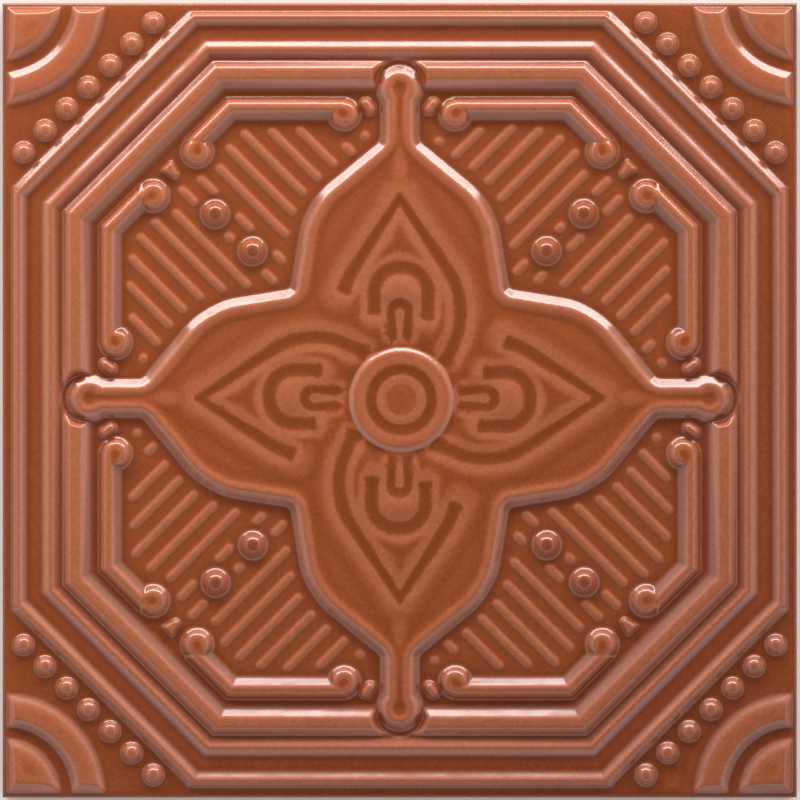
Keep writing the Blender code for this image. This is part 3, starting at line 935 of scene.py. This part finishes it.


# Glaze: a glossy reddish brown glass, fired on. It is paler where it ran thin off the crests and
# darker where it pooled in the hollows, and it ends in a wavy line on the sides. Below that line
# and on the back the matt red clay is bare. Its colour also carries painted light: it is painted
# paler towards the upper left and darker towards the lower right, and painted shade darkens the
# tops of the knuckles and field beads.
glaze_ior = 1.55
glaze_roughness = 0.15
bare_roughness = 0.85
bare_clay = (0.42, 0.18, 0.10)
pool_gain = 1250
pool_middle = 0.4
glaze_colours = (
    (0.05, (0.390, 0.117, 0.0550)),
    (0.24, (0.410, 0.121, 0.0560)),
    (0.31, (0.406, 0.112, 0.0495)),
    (0.36, (0.375, 0.098, 0.0393)),
    (0.40, (0.326, 0.077, 0.0269)),
    (0.45, (0.286, 0.065, 0.0210)),
    (0.54, (0.248, 0.0586, 0.0196)),
    (0.66, (0.224, 0.0500, 0.0146)),
)
# Painted light: this tilts the glaze colour paler towards the upper left and darker towards the lower
# right, as if lamp light fell unevenly across the tile.
painted_light_falloff = (-0.9, 1.7, 0)
speckle_scale = 1100
speckle_darkest = 0.90
speckle_palest = 1.10
# The glaze ends between the heights bare_below and glazed_above, raised by up to drip_depth.
drip_scale = 90
drip_depth = 0.0030
bare_below = 0.0030
glazed_above = 0.0034
wave_scale = 130
wave_height = 0.00012


def set_colour(socket, colour):
    """Sets a socket to an opaque colour."""
    socket.default_value = (*colour, 1)


def socket_called(sockets, identifier):
    """A node's socket by its identifier, where several have the same name."""
    return next(found for found in sockets if found.identifier == identifier)


glaze = bpy.data.materials.new("glaze")
glaze.use_nodes = True
nodes = glaze.node_tree.nodes
links = glaze.node_tree.links
shader = nodes["Principled BSDF"]
shader.inputs["IOR"].default_value = glaze_ior
coordinates = nodes.new("ShaderNodeTexCoord")

# Reads the glaze pools together with the painted shade on the tops.
pool_and_shade = nodes.new("ShaderNodeAttribute")
pool_and_shade.attribute_name = "glaze_pool_and_shade"
share = nodes.new("ShaderNodeMath")
share.operation = "MULTIPLY_ADD"
share.inputs[1].default_value = pool_gain
share.inputs[2].default_value = pool_middle
links.new(pool_and_shade.outputs["Fac"], share.inputs[0])
ramp = nodes.new("ShaderNodeValToRGB")
elements = ramp.color_ramp.elements
while len(elements) < len(glaze_colours):
    elements.new(0.5)
for element, (place, colour) in zip(elements, glaze_colours):
    element.position = place
    element.color = (*colour, 1)
links.new(share.outputs[0], ramp.inputs[0])

# Painted light: the colour's level rises across the tile towards the upper left.
painted_light_slope = nodes.new("ShaderNodeVectorMath")
painted_light_slope.operation = "DOT_PRODUCT"
painted_light_slope.inputs[1].default_value = painted_light_falloff
links.new(coordinates.outputs["Object"], painted_light_slope.inputs[0])
speckle = nodes.new("ShaderNodeTexNoise")
speckle.inputs["Scale"].default_value = speckle_scale
speckle.inputs["Detail"].default_value = 2
links.new(coordinates.outputs["Object"], speckle.inputs["Vector"])
speckle_level = nodes.new("ShaderNodeMapRange")
speckle_level.inputs["From Min"].default_value = 0.3
speckle_level.inputs["From Max"].default_value = 0.7
speckle_level.inputs["To Min"].default_value = speckle_darkest
speckle_level.inputs["To Max"].default_value = speckle_palest
links.new(speckle.outputs["Fac"], speckle_level.inputs["Value"])
level = nodes.new("ShaderNodeMath")
level.operation = "ADD"
links.new(painted_light_slope.outputs["Value"], level.inputs[0])
links.new(speckle_level.outputs["Result"], level.inputs[1])
toned = nodes.new("ShaderNodeVectorMath")
toned.operation = "SCALE"
links.new(ramp.outputs[0], toned.inputs[0])
links.new(level.outputs[0], toned.inputs["Scale"])

drip = nodes.new("ShaderNodeTexNoise")
drip.inputs["Scale"].default_value = drip_scale
links.new(coordinates.outputs["Object"], drip.inputs["Vector"])
split = nodes.new("ShaderNodeSeparateXYZ")
links.new(coordinates.outputs["Object"], split.inputs[0])
glaze_edge = nodes.new("ShaderNodeMath")
glaze_edge.operation = "MULTIPLY_ADD"
glaze_edge.inputs[1].default_value = -drip_depth
links.new(drip.outputs["Fac"], glaze_edge.inputs[0])
links.new(split.outputs["Z"], glaze_edge.inputs[2])
bare = nodes.new("ShaderNodeMapRange")
bare.inputs["From Min"].default_value = bare_below
bare.inputs["From Max"].default_value = glazed_above
bare.inputs["To Min"].default_value = 1
bare.inputs["To Max"].default_value = 0
links.new(glaze_edge.outputs[0], bare.inputs["Value"])
surface = nodes.new("ShaderNodeMix")
surface.data_type = "RGBA"
links.new(bare.outputs["Result"], surface.inputs["Factor"])
links.new(toned.outputs[0], socket_called(surface.inputs, "A_Color"))
set_colour(socket_called(surface.inputs, "B_Color"), bare_clay)
links.new(socket_called(surface.outputs, "Result_Color"), shader.inputs["Base Color"])
gloss = nodes.new("ShaderNodeMapRange")
gloss.inputs["To Min"].default_value = glaze_roughness
gloss.inputs["To Max"].default_value = bare_roughness
links.new(bare.outputs["Result"], gloss.inputs["Value"])
links.new(gloss.outputs["Result"], shader.inputs["Roughness"])

waves = nodes.new("ShaderNodeTexNoise")
waves.inputs["Scale"].default_value = wave_scale
waves.inputs["Detail"].default_value = 1
links.new(coordinates.outputs["Object"], waves.inputs["Vector"])
bump = nodes.new("ShaderNodeBump")
bump.inputs["Strength"].default_value = 1
bump.inputs["Distance"].default_value = wave_height
links.new(waves.outputs["Fac"], bump.inputs["Height"])
links.new(bump.outputs[0], shader.inputs["Normal"])
tile.data.materials.append(glaze)

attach(tile, "root")
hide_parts("relief_tile")


# Floor: a plain pale matt floor under the tile.
floor_size = 6
floor_colour = (0.85, 0.83, 0.80)
floor_roughness = 0.9

bpy.ops.object.select_all(action="DESELECT")
bpy.ops.mesh.primitive_plane_add(size=floor_size, location=(0, 0, 0))
floor = bpy.context.object
floor.name = "floor"
pale = bpy.data.materials.new("pale_floor")
pale.use_nodes = True
pale_shader = pale.node_tree.nodes["Principled BSDF"]
set_colour(pale_shader.inputs["Base Color"], floor_colour)
pale_shader.inputs["Roughness"].default_value = floor_roughness
floor.data.materials.append(pale)


# Lamp: a long soft studio light beyond the top of the picture and low over the floor, so the
# slopes that face it shine along their length.
lamp_turn = math.radians(70)
lamp_reach = 3.0
lamp_width = 6.5
lamp_height = 0.7
lamp_watts = 175

lamp_place = Vector((0, lamp_reach * math.sin(lamp_turn), lamp_reach * math.cos(lamp_turn)))
bpy.ops.object.light_add(type="AREA", location=lamp_place)
lamp = bpy.context.object
lamp.name = "lamp"
lamp.data.shape = "RECTANGLE"
lamp.data.size = lamp_width
lamp.data.size_y = lamp_height
lamp.data.energy = lamp_watts
lamp.rotation_euler = (Vector((0, 0, 0)) - lamp_place).to_track_quat("-Z", "Y").to_euler()


# Studio: soft light from all round, brightest in a band above the horizon and nearly dark
# overhead, where flat glaze would mirror it. Each level gives a height in the sky, from 0 at
# the horizon to 1 overhead, and its brightness.
studio_strength = 1.5
sky_levels = ((0.0, 0.1), (0.2, 0.3), (0.3, 1.0), (0.55, 0.95), (0.68, 0.35), (0.84, 0.25), (0.94, 0.02))

world = bpy.data.worlds.new("studio")
world.use_nodes = True
world_nodes = world.node_tree.nodes
world_links = world.node_tree.links
direction = world_nodes.new("ShaderNodeTexCoord")
parts = world_nodes.new("ShaderNodeSeparateXYZ")
world_links.new(direction.outputs["Generated"], parts.inputs[0])
sky = world_nodes.new("ShaderNodeValToRGB")
while len(sky.color_ramp.elements) < len(sky_levels):
    sky.color_ramp.elements.new(0.5)
for element, (place, level) in zip(sky.color_ramp.elements, sky_levels):
    element.position = place
    element.color = (level, level, level, 1)
world_links.new(parts.outputs["Z"], sky.inputs[0])
world_links.new(sky.outputs[0], world_nodes["Background"].inputs["Color"])
world_nodes["Background"].inputs["Strength"].default_value = studio_strength
bpy.context.scene.world = world
